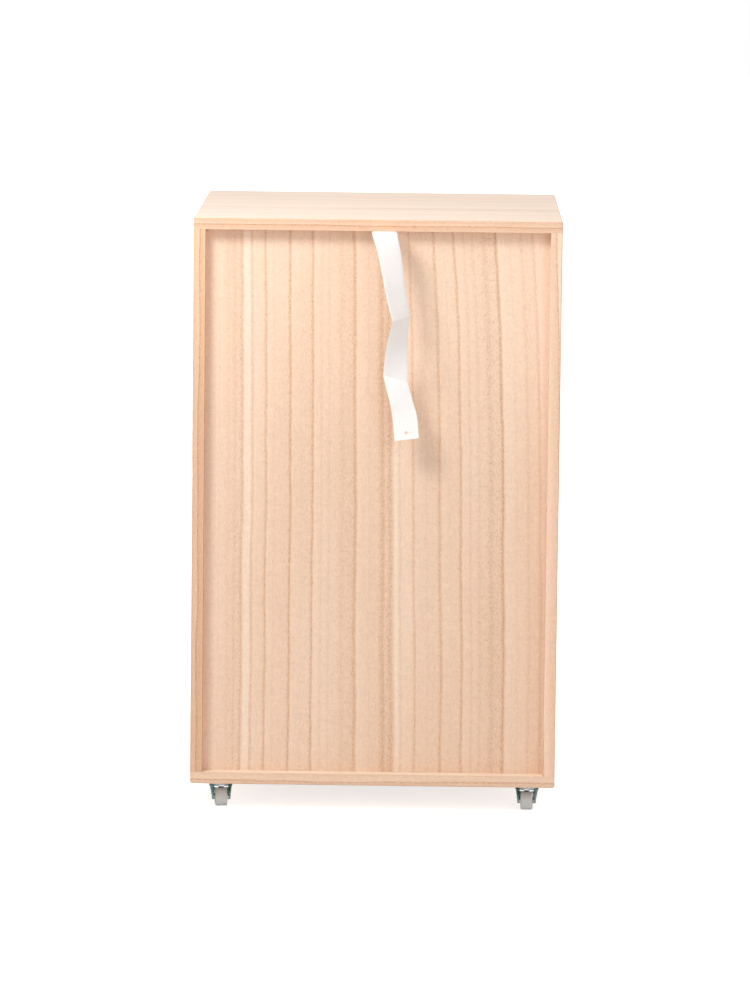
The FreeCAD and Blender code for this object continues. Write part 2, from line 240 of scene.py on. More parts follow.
def panelRings(tree, along, side):
    # Across the panel from its +X edge, straightened down the panel as its lines lean and sway.
    down = calc(tree, "SUBTRACT", backPanel["top"], along)
    place = calc(tree, "SUBTRACT", backPanel["edge"], side)
    lean = between(tree, place, 110.0, 255.0, 2.0, 16.0)
    fading = calc(tree, "EXPONENT", calc(tree, "DIVIDE", down, -220.0))
    eased = calc(tree, "SUBTRACT", 1.0, fading)
    slow = vectorOf(tree, calc(tree, "MULTIPLY", side, 0.01), 3.3, calc(tree, "MULTIPLY", along, 0.0085))
    quick = vectorOf(tree, calc(tree, "MULTIPLY", side, 0.12), 7.7, calc(tree, "MULTIPLY", along, 0.06))
    sway = calc(tree, "MULTIPLY", centred(tree, noise(tree, slow, 1.0)), 4.0)
    jitter = calc(tree, "MULTIPLY", centred(tree, noise(tree, quick, 1.0)), 1.3)
    place = calc(tree, "SUBTRACT", place, calc(tree, "MULTIPLY", lean, eased))
    place = calc(tree, "ADD", place, sway)
    place = calc(tree, "ADD", place, jitter)
    span = backPanel["width"]
    share = calc(tree, "DIVIDE", place, span)
    tone = ramp(tree, share, [(spot / span, grey(level)) for spot, level in backTones])
    return lineRamps(tree, share, backLines, span), tone


def stavedRings(tree, along, across, thick, kit):
    # Boards are glued up from staves, each cut from another place in the trunk.
    width = kit["staveWidth"]
    position = calc(tree, "ADD", calc(tree, "DIVIDE", across, width), kit["staveShift"])
    chance = tree.nodes.new("ShaderNodeTexWhiteNoise")
    chance.noise_dimensions = "1D"
    put(tree, chance.inputs["W"], calc(tree, "ADD", calc(tree, "FLOOR", position), kit["seed"]))
    parts = tree.nodes.new("ShaderNodeSeparateColor")
    tree.links.new(chance.outputs["Color"], parts.inputs[0])
    first, second, third = parts.outputs
    fromMiddle = centred(tree, calc(tree, "FRACT", position))
    slow = vectorOf(tree, calc(tree, "MULTIPLY", along, 0.25), across, thick)
    sway = calc(tree, "MULTIPLY", centred(tree, noise(tree, slow, 0.012)), 26.0 * kit["sway"])
    # The heart of the trunk lies beside each stave, so its lines run nearly straight.
    drift = calc(tree, "MULTIPLY", along, calc(tree, "MULTIPLY", centred(tree, third), kit["lean"]))
    heart = calc(tree, "ADD", between(tree, first, 0.0, 1.0, 0.62 * width, 1.4 * width), drift)
    aside = calc(tree, "SUBTRACT", calc(tree, "MULTIPLY", fromMiddle, width), heart)
    aside = calc(tree, "ADD", aside, sway)
    depth = calc(tree, "ADD", 25.0, calc(tree, "MULTIPLY", second, 110.0))
    below = calc(tree, "ADD", thick, depth)
    squares = calc(tree, "ADD", calc(tree, "MULTIPLY", aside, aside), calc(tree, "MULTIPLY", below, below))
    rings = calc(tree, "DIVIDE", calc(tree, "SQRT", squares), kit["ringPitch"])
    rings = calc(tree, "ADD", rings, calc(tree, "MULTIPLY", third, 7.0))
    ruffle = calc(tree, "MULTIPLY", noise(tree, slow, 0.05, 1.0), 0.9 * kit["sway"])
    growth = calc(tree, "FRACT", calc(tree, "ADD", rings, ruffle))
    # growth runs from 0, just outside a line, to 1 at the next line
    darkness = ((0.0, 0.75), (0.05, 0), (0.88, 0), (0.97, 0.9), (1.0, 0.95))
    clearness = ((0.0, 0.6), (0.12, 0.9), (0.55, 0.5), (1.0, 0.15))
    growthLines = ramp(tree, growth, [(spot, grey(level)) for spot, level in darkness])
    tone = ramp(tree, growth, [(spot, grey(level)) for spot, level in clearness])
    joint = between(tree, calc(tree, "ABSOLUTE", fromMiddle), 0.5 - 0.3 / width, 0.5)
    return growthLines, tone, joint, second


def drawnOut(tree, spot, squeeze, scale, detail=2.0, rough=0.5):
    # Noise drawn out along the grain; spot is across, along and through the board.
    side, along, deep = spot
    stretched = vectorOf(tree, side, calc(tree, "MULTIPLY", along, squeeze), deep)
    return noise(tree, stretched, scale, detail, rough)


def stain(tree, colour, mask, share, other):
    return blendColours(tree, calc(tree, "MULTIPLY", mask, share), colour, shade(*other))


def dim(tree, colour, amount):
    return blendColours(tree, 1.0, colour, amount, "MULTIPLY")


# What a board may be given; each board's own look changes some of it.
woodKit = {
    "staveWidth": 82.0,
    "staveShift": 0.37,
    "seed": 1.0,
    "lean": 0.03,           # of the growth lines against the board's length
    "ringPitch": 11.0,
    "strength": 1.0,        # of the growth lines
    "pores": 1.0,
    "sway": 1.0,
    "calm": 0.0,            # evens out the tone between the lines
    "joint": 0.5,           # how plain the glue joints between the staves are
    "tint": (255, 255, 255),
    # painted shade: low is a darker tint towards the foot of an upright board, for light that falls off
    # downwards
    "low": None,            # tint towards the foot of an upright board
    # painted light: pale is the paler colour mixed into faces turned upwards, for the light from above, and
    # how much of it
    "pale": None,           # colour of the upper face, and how much of it
    "gloss": 0.35,
    "back": False,          # the back panel has growth lines of its own
}


def paintUpwardLight(tree, colour, pale):
    # Painted light: faces turned upwards are mixed towards a paler colour, standing in for the stronger light
    # and sheen that fall on them from above.
    face = tree.nodes.new("ShaderNodeNewGeometry")
    parts = tree.nodes.new("ShaderNodeSeparateXYZ")
    tree.links.new(face.outputs["Normal"], parts.inputs[0])
    up = between(tree, parts.outputs[2], 0.5, 0.95, 0.0, pale[3])
    return blendColours(tree, up, colour, shade(*pale[:3]))


def wood(name, grain, across, thick, **look):
    kit = {**woodKit, **look}
    material, tree, shader = startMaterial(name)
    axes = dict(zip("XYZ", millimetres(tree)))
    along, side, deep = axes[grain], axes[across], axes[thick]
    spot = (side, along, deep)
    if kit["back"]:
        growthLines, tone = panelRings(tree, along, side)
    else:
        growthLines, tone, joint, chance = stavedRings(tree, along, side, deep, kit)
    if kit["calm"]:
        tone = between(tree, tone, 0.0, 1.0, 0.72 * kit["calm"], 1.0 - 0.28 * kit["calm"])
    # Long fibres, seen as faint streaks
    streak = drawnOut(tree, spot, 0.02, 0.9, 3.0, 0.6)
    fibre = drawnOut(tree, spot, 0.045, 4.5, 2.0, 0.6)
    broad = drawnOut(tree, spot, 0.2, 0.016)
    mottle = drawnOut(tree, spot, 0.35, 0.75, 2.0, 0.7)
    # Ripples lie across the grain.
    wide, long = calc(tree, "MULTIPLY", side, 0.12), calc(tree, "MULTIPLY", along, 0.42)
    ripple = noise(tree, vectorOf(tree, wide, long, deep), 1.0)
    # Pores are short fine dashes, thick before each growth line and along it.
    late = calc(tree, "SUBTRACT", 1.0, tone)
    crowd = calc(tree, "MULTIPLY", calc(tree, "MULTIPLY", late, late), 0.19 * kit["pores"])
    crowd = calc(tree, "ADD", crowd, calc(tree, "MULTIPLY", growthLines, 0.16))
    threshold = calc(tree, "SUBTRACT", 0.705, crowd)
    poreField = drawnOut(tree, spot, 0.28, 1.5, 1.0)
    pores = between(tree, poreField, threshold, calc(tree, "ADD", threshold, 0.1))
    dashes = between(tree, drawnOut(tree, spot, 0.3, 1.1, 1.0), 0.3, 0.6, 0.55, 1.0)

    colour = blendColours(tree, tone, shade(*paulownia["late"]), shade(*paulownia["body"]))
    colour = stain(tree, colour, between(tree, tone, 0.6, 1.0), 0.5, paulownia["light"])
    colour = stain(tree, colour, between(tree, streak, 0.35, 0.75), 0.3, paulownia["late"])
    colour = stain(tree, colour, between(tree, broad, 0.35, 0.7), 0.25, paulownia["light"])
    broken = calc(tree, "MULTIPLY", growthLines, dashes)
    colour = stain(tree, colour, broken, 0.75 * kit["strength"], paulownia["line"])
    colour = stain(tree, colour, pores, 0.46, paulownia["pore"])
    if not kit["back"]:
        # Staves differ a little in warmth, and a thin line shows where they meet.
        colour = stain(tree, colour, joint, kit["joint"], paulownia["joint"])
        colour = dim(tree, colour, stain(tree, grey(1), chance, 0.8 * kit["joint"], paulownia["warm"]))
    fine = between(tree, fibre, 0.2, 0.8, 0.92, 1.06)
    fine = calc(tree, "MULTIPLY", fine, between(tree, mottle, 0.25, 0.75, 0.95, 1.045))
    rippled = between(tree, ripple, 0.25, 0.75, 0.975, 1.02)
    colour = dim(tree, colour, vectorOf(tree, fine, fine, fine))
    colour = dim(tree, colour, vectorOf(tree, rippled, rippled, rippled))
    tint = shade(*kit["tint"])
    # Painted shade: an upright board darkens towards its foot, where less light falls
    if kit["low"]:
        tint = blendColours(tree, between(tree, along, 330.0, 560.0), shade(*kit["low"]), tint)
    colour = dim(tree, colour, tint)
    # Painted light: faces turned upwards made paler, for the light from above
    if kit["pale"]:
        colour = paintUpwardLight(tree, colour, kit["pale"])
    tree.links.new(colour, shader.inputs["Base Color"])
    rough = between(tree, streak, 0.2, 0.8, paulownia["roughness"] - 0.06, paulownia["roughness"] + 0.08)
    tree.links.new(rough, shader.inputs["Roughness"])
    shader.inputs["Specular IOR Level"].default_value = kit["gloss"]
    dents = calc(tree, "ADD", calc(tree, "MULTIPLY", pores, 0.5), calc(tree, "MULTIPLY", growthLines, 0.12))
    height = calc(tree, "SUBTRACT", calc(tree, "MULTIPLY", fibre, 0.5), dents)
    addBump(tree, shader, height, 0.35, 0.0002)
    return material


# Each board: its material's name, the axes along the grain, across it and through it, its look.
boards = {
    "top": ("topBoardPaulownia", "XYZ", {
        "seed": 4, "staveWidth": 94, "ringPitch": 7.5, "strength": 1.1, "sway": 0.25, "calm": 0.3,
        "joint": 0.25, "gloss": 0.15, "tint": (249, 238, 229), "pale": (255, 241, 227, 0.6)}),
    "bottom": ("bottomBoardPaulownia", "XYZ", {
        "seed": 12, "staveWidth": 94, "strength": 0.4, "sway": 0.4, "calm": 0.3, "joint": 0.2,
        "tint": (248, 241, 234), "pale": (255, 236, 214, 0.8)}),
    "left": ("leftBoardPaulownia", "ZYX", {
        "seed": 23, "staveWidth": 78, "strength": 0.5, "sway": 0.45, "calm": 0.2, "joint": 0.3,
        "tint": (262, 259, 258), "low": (257, 249, 243)}),
    "right": ("rightBoardPaulownia", "ZYX", {
        "seed": 29, "staveWidth": 78, "strength": 0.5, "sway": 0.45, "calm": 0.2, "joint": 0.3,
        "tint": (249, 234, 219), "low": (236, 221, 206)}),
    "back": ("backPanelPaulownia", "ZXY", {
        "back": True, "tint": (258, 258, 257), "low": (251, 250, 249)}),
    "front": ("drawerFrontPaulownia", "XZY", {
        "seed": 37, "staveWidth": 186, "staveShift": 0.78, "strength": 0.7, "sway": 0.4, "calm": 0.2}),
    "drawerSide": ("drawerSidePaulownia", "YZX", {
        "seed": 51, "staveWidth": 93, "staveShift": 0.56, "strength": 0.8, "sway": 0.4,
        "tint": (250, 247, 243)}),
    "drawerBack": ("drawerBackPaulownia", "XZY", {
        "seed": 67, "staveWidth": 93, "staveShift": 0.56, "strength": 0.8, "sway": 0.4,
        "tint": (250, 247, 243)}),
    "drawerBottom": ("drawerBottomVeneer", "XYZ", {
        "seed": 83, "staveWidth": 160, "ringPitch": 17, "strength": 0.5, "pores": 0.6,
        "tint": (250, 244, 236)}),
    "runner": ("runnerBeech", "YZX", {
        "seed": 97, "staveWidth": 40, "ringPitch": 2.6, "strength": 0.5, "pores": 0.3,
        "tint": (240, 222, 205)}),
}
woods = {kind: wood(name, *axes, **look) for kind, (name, axes, look) in boards.items()}
print("wood ready:", len(woods), "kinds")

metals = {
    # painted highlight: a near-white mirror metal for the stretch of the fork's lip over the wheel
    "bright": {"colour": (240, 243, 244), "rough": 0.12},
    # painted shade: a near-black metal for the fork's inside faces, under the crown and towards the wheel
    "dull": {"colour": (52, 52, 50), "rough": 0.55},
    "fork": {"colour": (88, 116, 116), "rough": 0.26},
    "zinc": {"colour": (176, 182, 184), "rough": 0.34},
    "steel": {"colour": (150, 154, 156), "rough": 0.28},
}


def metal(name, colour, rough):
    material, tree, shader = startMaterial(name)
    x, y, z = millimetres(tree)
    spots = noise(tree, vectorOf(tree, x, y, z), 0.45, 4.0, 0.6)
    fine = noise(tree, vectorOf(tree, x, y, calc(tree, "MULTIPLY", z, 0.3)), 3.0, 2.0)
    darker = tuple(0.8 * c for c in colour)
    dull = between(tree, spots, 0.35, 0.7)
    tree.links.new(blendColours(tree, dull, shade(*colour), shade(*darker)), shader.inputs["Base Color"])
    tree.links.new(between(tree, fine, 0.2, 0.8, rough - 0.05, rough + 0.1), shader.inputs["Roughness"])
    shader.inputs["Metallic"].default_value = 1.0
    addBump(tree, shader, fine, 0.15, 0.00005)
    return material


paintedHighlightSteel = metal("paintedHighlightSteel", **metals["bright"])
forkSteel = metal("forkSteel", **metals["fork"])
paintedShadeSteel = metal("paintedShadeSteel", **metals["dull"])
zincPlate = metal("zincPlate", **metals["zinc"])
pinSteel = metal("pinSteel", **metals["steel"])

wheelLook = {"tread": (212, 213, 209), "worn": (198, 198, 193), "rough": 0.42}


def wheelPlastic():
    material, tree, shader = startMaterial("wheelPlastic")
    x, y, z = millimetres(tree)
    scuff = noise(tree, vectorOf(tree, calc(tree, "MULTIPLY", x, 0.5), y, z), 0.8, 4.0, 0.65)
    grain = noise(tree, vectorOf(tree, x, y, z), 6.0, 2.0)
    worn = between(tree, scuff, 0.4, 0.7)
    colour = blendColours(tree, worn, shade(*wheelLook["tread"]), shade(*wheelLook["worn"]))
    tree.links.new(colour, shader.inputs["Base Color"])
    rough = between(tree, scuff, 0.3, 0.8, wheelLook["rough"], wheelLook["rough"] + 0.2)
    tree.links.new(rough, shader.inputs["Roughness"])
    shader.inputs["Subsurface Weight"].default_value = 0.15
    shader.inputs["Subsurface Radius"].default_value = (0.002, 0.002, 0.0018)
    addBump(tree, shader, grain, 0.12, 0.0001)
    return material


wheelGrey = wheelPlastic()

strap = {
    "width": 25.0,
    "thick": 0.95,
    "ribPitch": 2.0,
    "ribHeight": 0.11,
    "stepsPerRib": 5,
    "columns": 14,
    "selvedge": 0.7,        # width of the thinner edge
    "warpPitch": 0.45,
    "holeRadius": 1.55,
    "holeUp": 7.0,          # above the free end
    "cloth": (253, 248, 245),
    "shadow": (242, 233, 228),
}
# Middle of the webbing: across, out, up, then its turn about the upright and its tip.
# The three stretches meet at the creases.
strapStretches = (
    ((-6.0, 174.0, 598.3, 0, 0), (-6.0, 188.0, 598.3, 0, 0), (-6.2, 195.5, 598.9, 1, 0),
     (-6.6, 203.5, 598.0, 2, 1), (-7.6, 208.0, 593.5, 6, 2), (-11.7, 210.0, 578.4, 22, 1),
     (-17.0, 213.0, 548.0, 33, 2), (-21.3, 214.2, 526.0, 38, -2), (-24.6, 214.5, 512.5, 45, -9)),
    ((-24.6, 214.5, 512.5, 45, -9), (-21.0, 207.5, 487.0, 34, 3), (-19.0, 196.0, 449.6, 4, 13)),
    ((-19.0, 196.0, 449.6, 4, 13), (-25.8, 197.5, 425.2, 16, 3), (-29.2, 199.0, 410.0, 6, -3),
     (-31.4, 203.0, 388.0, 4, -7)),
)


def webbingMaterial():
    material, tree, shader = startMaterial("grosgrainWebbing")
    uv = tree.nodes.new("ShaderNodeUVMap")
    uv.uv_map = "weave"
    split = tree.nodes.new("ShaderNodeSeparateXYZ")
    tree.links.new(uv.outputs[0], split.inputs[0])
    side = calc(tree, "MULTIPLY", split.outputs[0], 1000.0)
    along = calc(tree, "MULTIPLY", split.outputs[1], 1000.0)
    # Warp ends cross the ribs, and each picks up the rib as a small knuckle.
    warp = calc(tree, "SINE", calc(tree, "MULTIPLY", side, 2 * math.pi / strap["warpPitch"]))
    rib = calc(tree, "COSINE", calc(tree, "MULTIPLY", along, 2 * math.pi / strap["ribPitch"]))
    # Painted shade: the troughs between the ribs are mixed towards the shadow colour; thin slubs take some of
    # it too, as a tone of their own.
    low = between(tree, rib, -1.0, 0.2, 1.0, 0.0)
    slub = noise(tree, vectorOf(tree, calc(tree, "MULTIPLY", side, 0.15), along, 0.0), 1.3, 3.0)
    fuzz = noise(tree, vectorOf(tree, side, along, 0.0), 4.0, 2.0)
    thin = between(tree, slub, 0.5, 0.8)
    cloth, shadow = shade(*strap["cloth"]), shade(*strap["shadow"])
    colour = blendColours(tree, calc(tree, "MULTIPLY", low, 0.3), cloth, shadow)
    colour = blendColours(tree, calc(tree, "MULTIPLY", thin, 0.25), colour, shadow)
    tree.links.new(colour, shader.inputs["Base Color"])
    tree.links.new(between(tree, fuzz, 0.2, 0.8, 0.75, 0.92), shader.inputs["Roughness"])
    shader.inputs["Sheen Weight"].default_value = 0.2
    shader.inputs["Sheen Roughness"].default_value = 0.5
    shader.inputs["Specular IOR Level"].default_value = 0.2
    height = calc(tree, "ADD", calc(tree, "MULTIPLY", warp, 0.35), calc(tree, "MULTIPLY", fuzz, 0.5))
    addBump(tree, shader, height, 0.5, 0.00012)
    return material


def addMesh(name, bm, material, smoothAngle=40):
    data = bpy.data.meshes.new(name)
    bm.to_mesh(data)
    bm.free()
    made = bpy.data.objects.new(name, data)
    bpy.context.scene.collection.objects.link(made)
    data.materials.append(material)
    data.shade_smooth()
    data.set_sharp_from_angle(angle=math.radians(smoothAngle))
    return made


def cutAway(piece, tool):
    # Cuts the tool's shape out of the piece; the tool is used up.
    cut = piece.modifiers.new("cut", "BOOLEAN")
    cut.object = tool
    cut.operation = "DIFFERENCE"
    cut.solver = "EXACT"
    bpy.context.view_layer.objects.active = piece
    bpy.ops.object.modifier_apply(modifier=cut.name)
    bpy.data.objects.remove(tool)


def smoothPoint(points, t):
    # Catmull-Rom through the stations; t counts stations from 0.
    i = min(int(t), len(points) - 2)
    f = t - i
    before = points[i - 1] if i > 0 else tuple(2 * a - b for a, b in zip(points[0], points[1]))
    after = points[i + 2] if i + 2 < len(points) else tuple(2 * a - b for a, b in zip(points[-1], points[-2]))
    start, end = points[i], points[i + 1]
    place = []
    for p, a, b, q in zip(before, start, end, after):
        slope = (b - p) * f
        bend = (2 * p - 5 * a + 4 * b - q) * f ** 2
        twist = (3 * a - p - 3 * b + q) * f ** 3
        place.append(0.5 * (2 * a + slope + bend + twist))
    return place


def walkStretch(points, step):
    # Evenly spaced stations along one stretch, by length.
    fine = [smoothPoint(points, i / 60) for i in range(60 * (len(points) - 1) + 1)]
    walked = [0.0]
    for a, b in zip(fine, fine[1:]):
        walked.append(walked[-1] + math.dist(a[:3], b[:3]))
    count = max(2, round(walked[-1] / step))
    picked, j = [], 0
    for i in range(count + 1):
        goal = walked[-1] * i / count
        while j < len(fine) - 2 and walked[j + 1] < goal:
            j += 1
        share = (goal - walked[j]) / max(walked[j + 1] - walked[j], 1e-9)
        picked.append([a + (b - a) * share for a, b in zip(fine[j], fine[j + 1])])
    return picked


def ribbonRows():
    step = strap["ribPitch"] / strap["stepsPerRib"]
    rows = []
    for stretch in strapStretches:
        part = walkStretch(stretch, step)
        rows += part if not rows else part[1:]
    return rows


def acrossWebbing(row):
    turned, tip = math.radians(row[3]), math.radians(row[4])
    return Vector((math.cos(turned) * math.cos(tip), math.sin(turned) * math.cos(tip), math.sin(tip)))


def buildStrap():
    rows = ribbonRows()
    columns = strap["columns"]
    bm = bmesh.new()
    weave = bm.loops.layers.uv.new("weave")
    walked = 0.0
    rings, uvs = [], []
    for i, row in enumerate(rows):
        centre = Vector(row[:3])
        if i:
            walked += (centre - Vector(rows[i - 1][:3])).length
        before = Vector(rows[max(i - 1, 0)][:3])
        after = Vector(rows[min(i + 1, len(rows) - 1)][:3])
        across = acrossWebbing(row)
        normal = across.cross(after - before).normalized()
        swell = strap["ribHeight"] * 0.5 * math.cos(2 * math.pi * walked / strap["ribPitch"])
        ring, uvRow = [], []
        for side in (1, -1):
            for c in range(columns + 1):
                share = (c / columns - 0.5) * side
                # The selvedges are woven thinner and round off.
                edge = min(1.0, (0.5 - abs(share)) * strap["width"] / strap["selvedge"])
                half = strap["thick"] / 2
                if edge < 1:
                    half *= math.sqrt(max(edge * (2 - edge), 0.0))
                lift = side * (half + swell * edge)
                out = across * share * strap["width"] + normal * lift
                ring.append(bm.verts.new((centre + out) * mm))
                uvRow.append((share * strap["width"] * mm, walked * mm))
        rings.append(ring)
        uvs.append(uvRow)
    count = len(rings[0])
    for (a, ua), (b, ub) in zip(zip(rings, uvs), zip(rings[1:], uvs[1:])):
        for c in range(count):
            d = (c + 1) % count
            face = bm.faces.new((a[c], a[d], b[d], b[c]))
            for loop, place in zip(face.loops, (ua[c], ua[d], ub[d], ub[c])):
                loop[weave].uv = place
    for ring in (rings[0][::-1], rings[-1]):
        # End caps, in strips from one face of the webbing to the other
        for c in range(columns):
            quad = (ring[c], ring[c + 1], ring[count - 2 - c], ring[count - 1 - c])
            bm.faces.new(quad)
    bmesh.ops.remove_doubles(bm, verts=bm.verts, dist=1e-6)
    bmesh.ops.recalc_face_normals(bm, faces=bm.faces)
    made = addMesh("antiTipStrap", bm, webbingMaterial(), 60)
    return made, rows


strapPiece, strapRows = buildStrap()


def punchHole(piece, rows):
    end, near = Vector(rows[-1][:3]), Vector(rows[-12][:3])
    along = (end - near).normalized()
    across = acrossWebbing(rows[-1])
    radius = strap["holeRadius"] * mm
    bm = bmesh.new()
    bmesh.ops.create_cone(bm, cap_ends=True, segments=28, radius1=radius, radius2=radius, depth=8 * mm)
    axes = Matrix((across, along, across.cross(along))).transposed().to_4x4()
    bm.transform(Matrix.Translation((end - along * strap["holeUp"]) * mm) @ axes)
    cutAway(piece, addMesh("strapPunch", bm, piece.data.materials[0]))


punchHole(strapPiece, strapRows)
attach(strapPiece, "carcass")
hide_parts("anti_tip_strap")
print("strap made:", len(strapPiece.data.polygons), "faces")

# Every caster is made round its own upright axis, wheel towards +Y, and then set in its place.
# All its measures are in millimetres, with heights from the floor.
caster = {
    "trail": 9.0,
    "wheelRadius": 9.5,
    "wheelHalf": 6.25,
    "bore": 2.05,
    "shoulder": 1.6,
    "treadHalf": 2.2,      # the tread is crowned, and highest over this half of its width
    "treadRise": 0.06,
    "hub": 3.7,
    "recess": 7.3,
    "recessDepth": 1.3,
    "crownRadius": 12.2,
    "crownTop": 21.8,
    "lipLow": 19.15,
    "notchHalf": 3.0,      # half the width of the notch in the lip, over the wheel
    "notchTop": 21.3,
    "rivetHole": 2.56,
    "rivetSeat": 5.4,
    "seatLow": 19.4,
    "sheet": 1.2,
    "eyeRadius": 3.1,
    "neck": 20.0,          # height where the cheeks leave the crown
    "shoulderLevel": 21.0,
    "cheekTop": 11.9,      # outer face of a cheek at that level, out from the axis, and at its foot
    "cheekFoot": 9.2,
    "footLevel": 6.4,
    "cheekHalf": 8.6,
    "wrapNear": 52.0,      # how far a cheek follows the crown, towards the wheel and away from it
    "wrapFar": 60.0,
    "lipHalf": 7.2,        # half the width of the lip's stretch given the near-white metal, a painted highlight
    "flange": 0.8,         # how far a cheek's edge turns in behind the wheel
    "pinRadius": 2.0,
    "pinHead": 2.4,
    "pinHalf": 9.6,
    "pinDome": 1.2,
    "collar": 2.9,
}


def turn(bm, profile, place, segments=56, closed=True):
    # Turns a profile of (radius, height) about the upright of place.
    rings = []
    for radius, height in profile:
        if radius < 1e-6:
            rings.append([bm.verts.new(place @ Vector((0, 0, height)))])
            continue
        ring = []
        for i in range(segments):
            angle = 2 * math.pi * i / segments
            spot = Vector((radius * math.cos(angle), radius * math.sin(angle), height))
            ring.append(bm.verts.new(place @ spot))
        rings.append(ring)
    pairs = list(zip(rings, rings[1:]))
    if closed:
        pairs.append((rings[-1], rings[0]))
    for a, b in pairs:
        for i in range(segments):
            j = (i + 1) % segments
            corners = [a[i % len(a)], a[j % len(a)], b[j % len(b)], b[i % len(b)]]
            corners = [v for n, v in enumerate(corners) if v not in corners[:n]]
            if len(corners) > 2:
                bm.faces.new(corners)
    return rings


def onAxle(place):
    # The axle's middle, with the upright of a profile laid along the axle.
    middle = Matrix.Translation((0, caster["trail"], caster["wheelRadius"]))
    return place @ middle @ Matrix.Rotation(math.pi / 2, 4, "Y")


def casterPlaces():
    # Upright axis and heading of each caster, from the joints of the frame.
    found = {}
    joints = {joint["name"]: joint for joint in frame["joints"]}
    scale = Matrix.Diagonal((mm, mm, mm, 1))
    for corner in ("front_left", "front_right", "rear_left", "rear_right"):
        x, y = joints["caster_swivel_" + corner]["pos_m"][:2]
        axle = joints["caster_roll_" + corner]["axis"]
        heading = math.atan2(axle[1], axle[0])
        found[corner] = Matrix.Translation((x, y, 0)) @ Matrix.Rotation(heading, 4, "Z") @ scale
    return found


def wheelMesh(place):
    c = caster
    half, radius, shoulder = c["wheelHalf"], c["wheelRadius"], c["shoulder"]
    hub, recess, floor = c["hub"], c["recess"], half - c["recessDepth"]
    side = [(c["bore"], half), (hub - 0.3, half), (hub, half - 0.3), (hub + 0.15, floor + 0.2)]
    side += [(hub + 0.4, floor), (recess - 0.5, floor), (recess, floor + 0.4)]
    side += [(recess + 0.25, half - 0.15), (recess + 0.45, half)]
    for i in range(7):
        angle = math.radians(15 * i)
        out = radius - c["treadRise"] - shoulder * (1 - math.sin(angle))
        side.append((out, half - shoulder * (1 - math.cos(angle))))
    profile = side + [(radius, c["treadHalf"])]
    profile += [(r, -h) for r, h in reversed(profile)]
    bm = bmesh.new()
    turn(bm, profile, onAxle(place), 72)
    return bm


def pinMesh(place):
    c = caster
    end, head, pin, collar = c["pinHalf"], c["pinHead"], c["pinRadius"], c["collar"]
    flat = end - c["pinDome"]
    inside = c["wheelHalf"] + 0.12
    profile = [(0, end), (1.1, end - 0.06), (1.8, end - 0.25), (2.2, end - 0.6)]
    profile += [(head, flat + 0.15), (head, flat), (pin, flat), (pin, flat - 0.1)]
    profile += [(collar, flat - 0.1), (collar, inside), (pin, inside)]
    profile += [(r, -h) for r, h in reversed(profile)]
    bm = bmesh.new()
    turn(bm, profile, onAxle(place), 32, closed=False)
    return bm


def addCrown(bm, place):
    # Round pressed crown with a reflective lip, which is notched where the wheel passes under it. Its stretch
    # over the wheel takes a near-white metal, a painted highlight.
    c = caster
    rim, top, low, boss = c["crownRadius"], c["crownTop"], c["lipLow"], c["rivetSeat"]
    hole, dip, under = c["rivetHole"], c["seatLow"], top - c["sheet"]
    profile = [(hole, dip), (boss - 0.6, dip), (boss, dip + 0.3), (boss + 0.5, under - 0.15)]
    profile += [(boss + 1.1, under), (rim - 1.7, under), (rim - 1.3, under - 0.4)]
    profile += [(rim - 1.2, low + 0.25), (rim - 0.95, low), (rim - 0.3, low), (rim - 0.06, low + 0.3)]
    profile += [(rim, low + 0.9), (rim - 0.05, low + 1.5), (rim - 0.3, low + 2.1)]
    profile += [(rim - 0.75, top - 0.12), (rim - 1.3, top), (hole, top)]
    rings = turn(bm, profile, place, 120)
    bm.verts.ensure_lookup_table()
    back = place.inverted()
    for ring in rings[7:12]:
        for vertex in ring:
            spot = back @ vertex.co
            if spot.y > 0 and abs(spot.x) < c["notchHalf"] and spot.z < c["notchTop"]:
                vertex.co = place @ Vector((spot.x, spot.y, c["notchTop"] + 0.15 * (spot.z - low)))
    bm.faces.ensure_lookup_table()
    for face in bm.faces:
        middle = back @ face.calc_center_median()
        reach = math.hypot(middle.x, middle.y)
        # Painted highlight: the lip's stretch over the wheel takes the near-white metal
        if reach > rim - 0.9 and middle.z < top - 0.1 and middle.y > 0 and abs(middle.x) < c["lipHalf"]:
            face.material_index = 1
        # Painted shade: the crown's underside and the inside of its lip take the near-black metal
        elif reach < rim - 0.9 and middle.z < top - 0.5:
            face.material_index = 2


def cheekRow(z, inset):
    # Outline of a cheek at one height: the plate from its near edge to its far edge, then a flange
    # turned in behind the wheel.
    c = caster
    share = min(1.0, max(0.0, (c["neck"] - z) / (c["neck"] - c["wheelRadius"])))
    drop = (c["shoulderLevel"] - z) / (c["shoulderLevel"] - c["footLevel"])
    out = c["cheekTop"] + (c["cheekFoot"] - c["cheekTop"]) * drop
    half = c["cheekHalf"] + (c["eyeRadius"] - c["cheekHalf"]) * share
    if z < c["wheelRadius"]:
        half = math.sqrt(max(c["eyeRadius"] ** 2 - (c["wheelRadius"] - z) ** 2, 0.3))
    row = []
    for k in range(11):
        u = 1 - k / 5
        wrap = (1 - share) ** (0.8 if u > 0 else 1.2)
        angle = math.radians(c["wrapFar"] * min(u, 0) + c["wrapNear"] * max(u, 0))
        y = c["trail"] * share + (1 - wrap) * half * u + wrap * out * math.sin(angle)
        x = out * (1 - wrap * (1 - math.cos(angle)))
        row.append((x - inset, y))
    x, y = row[-1]
    tip = min(c["wheelHalf"] + 0.25, x - 0.3)
    reach = x + inset - tip
    for k in (1, 2, 3):
        turnIn = math.pi / 2 * k / 3
        across = x + inset - reach * (1 - math.cos(turnIn)) - inset * math.cos(turnIn)
        row.append((across, y - (c["flange"] - inset) * math.sin(turnIn)))
    return row


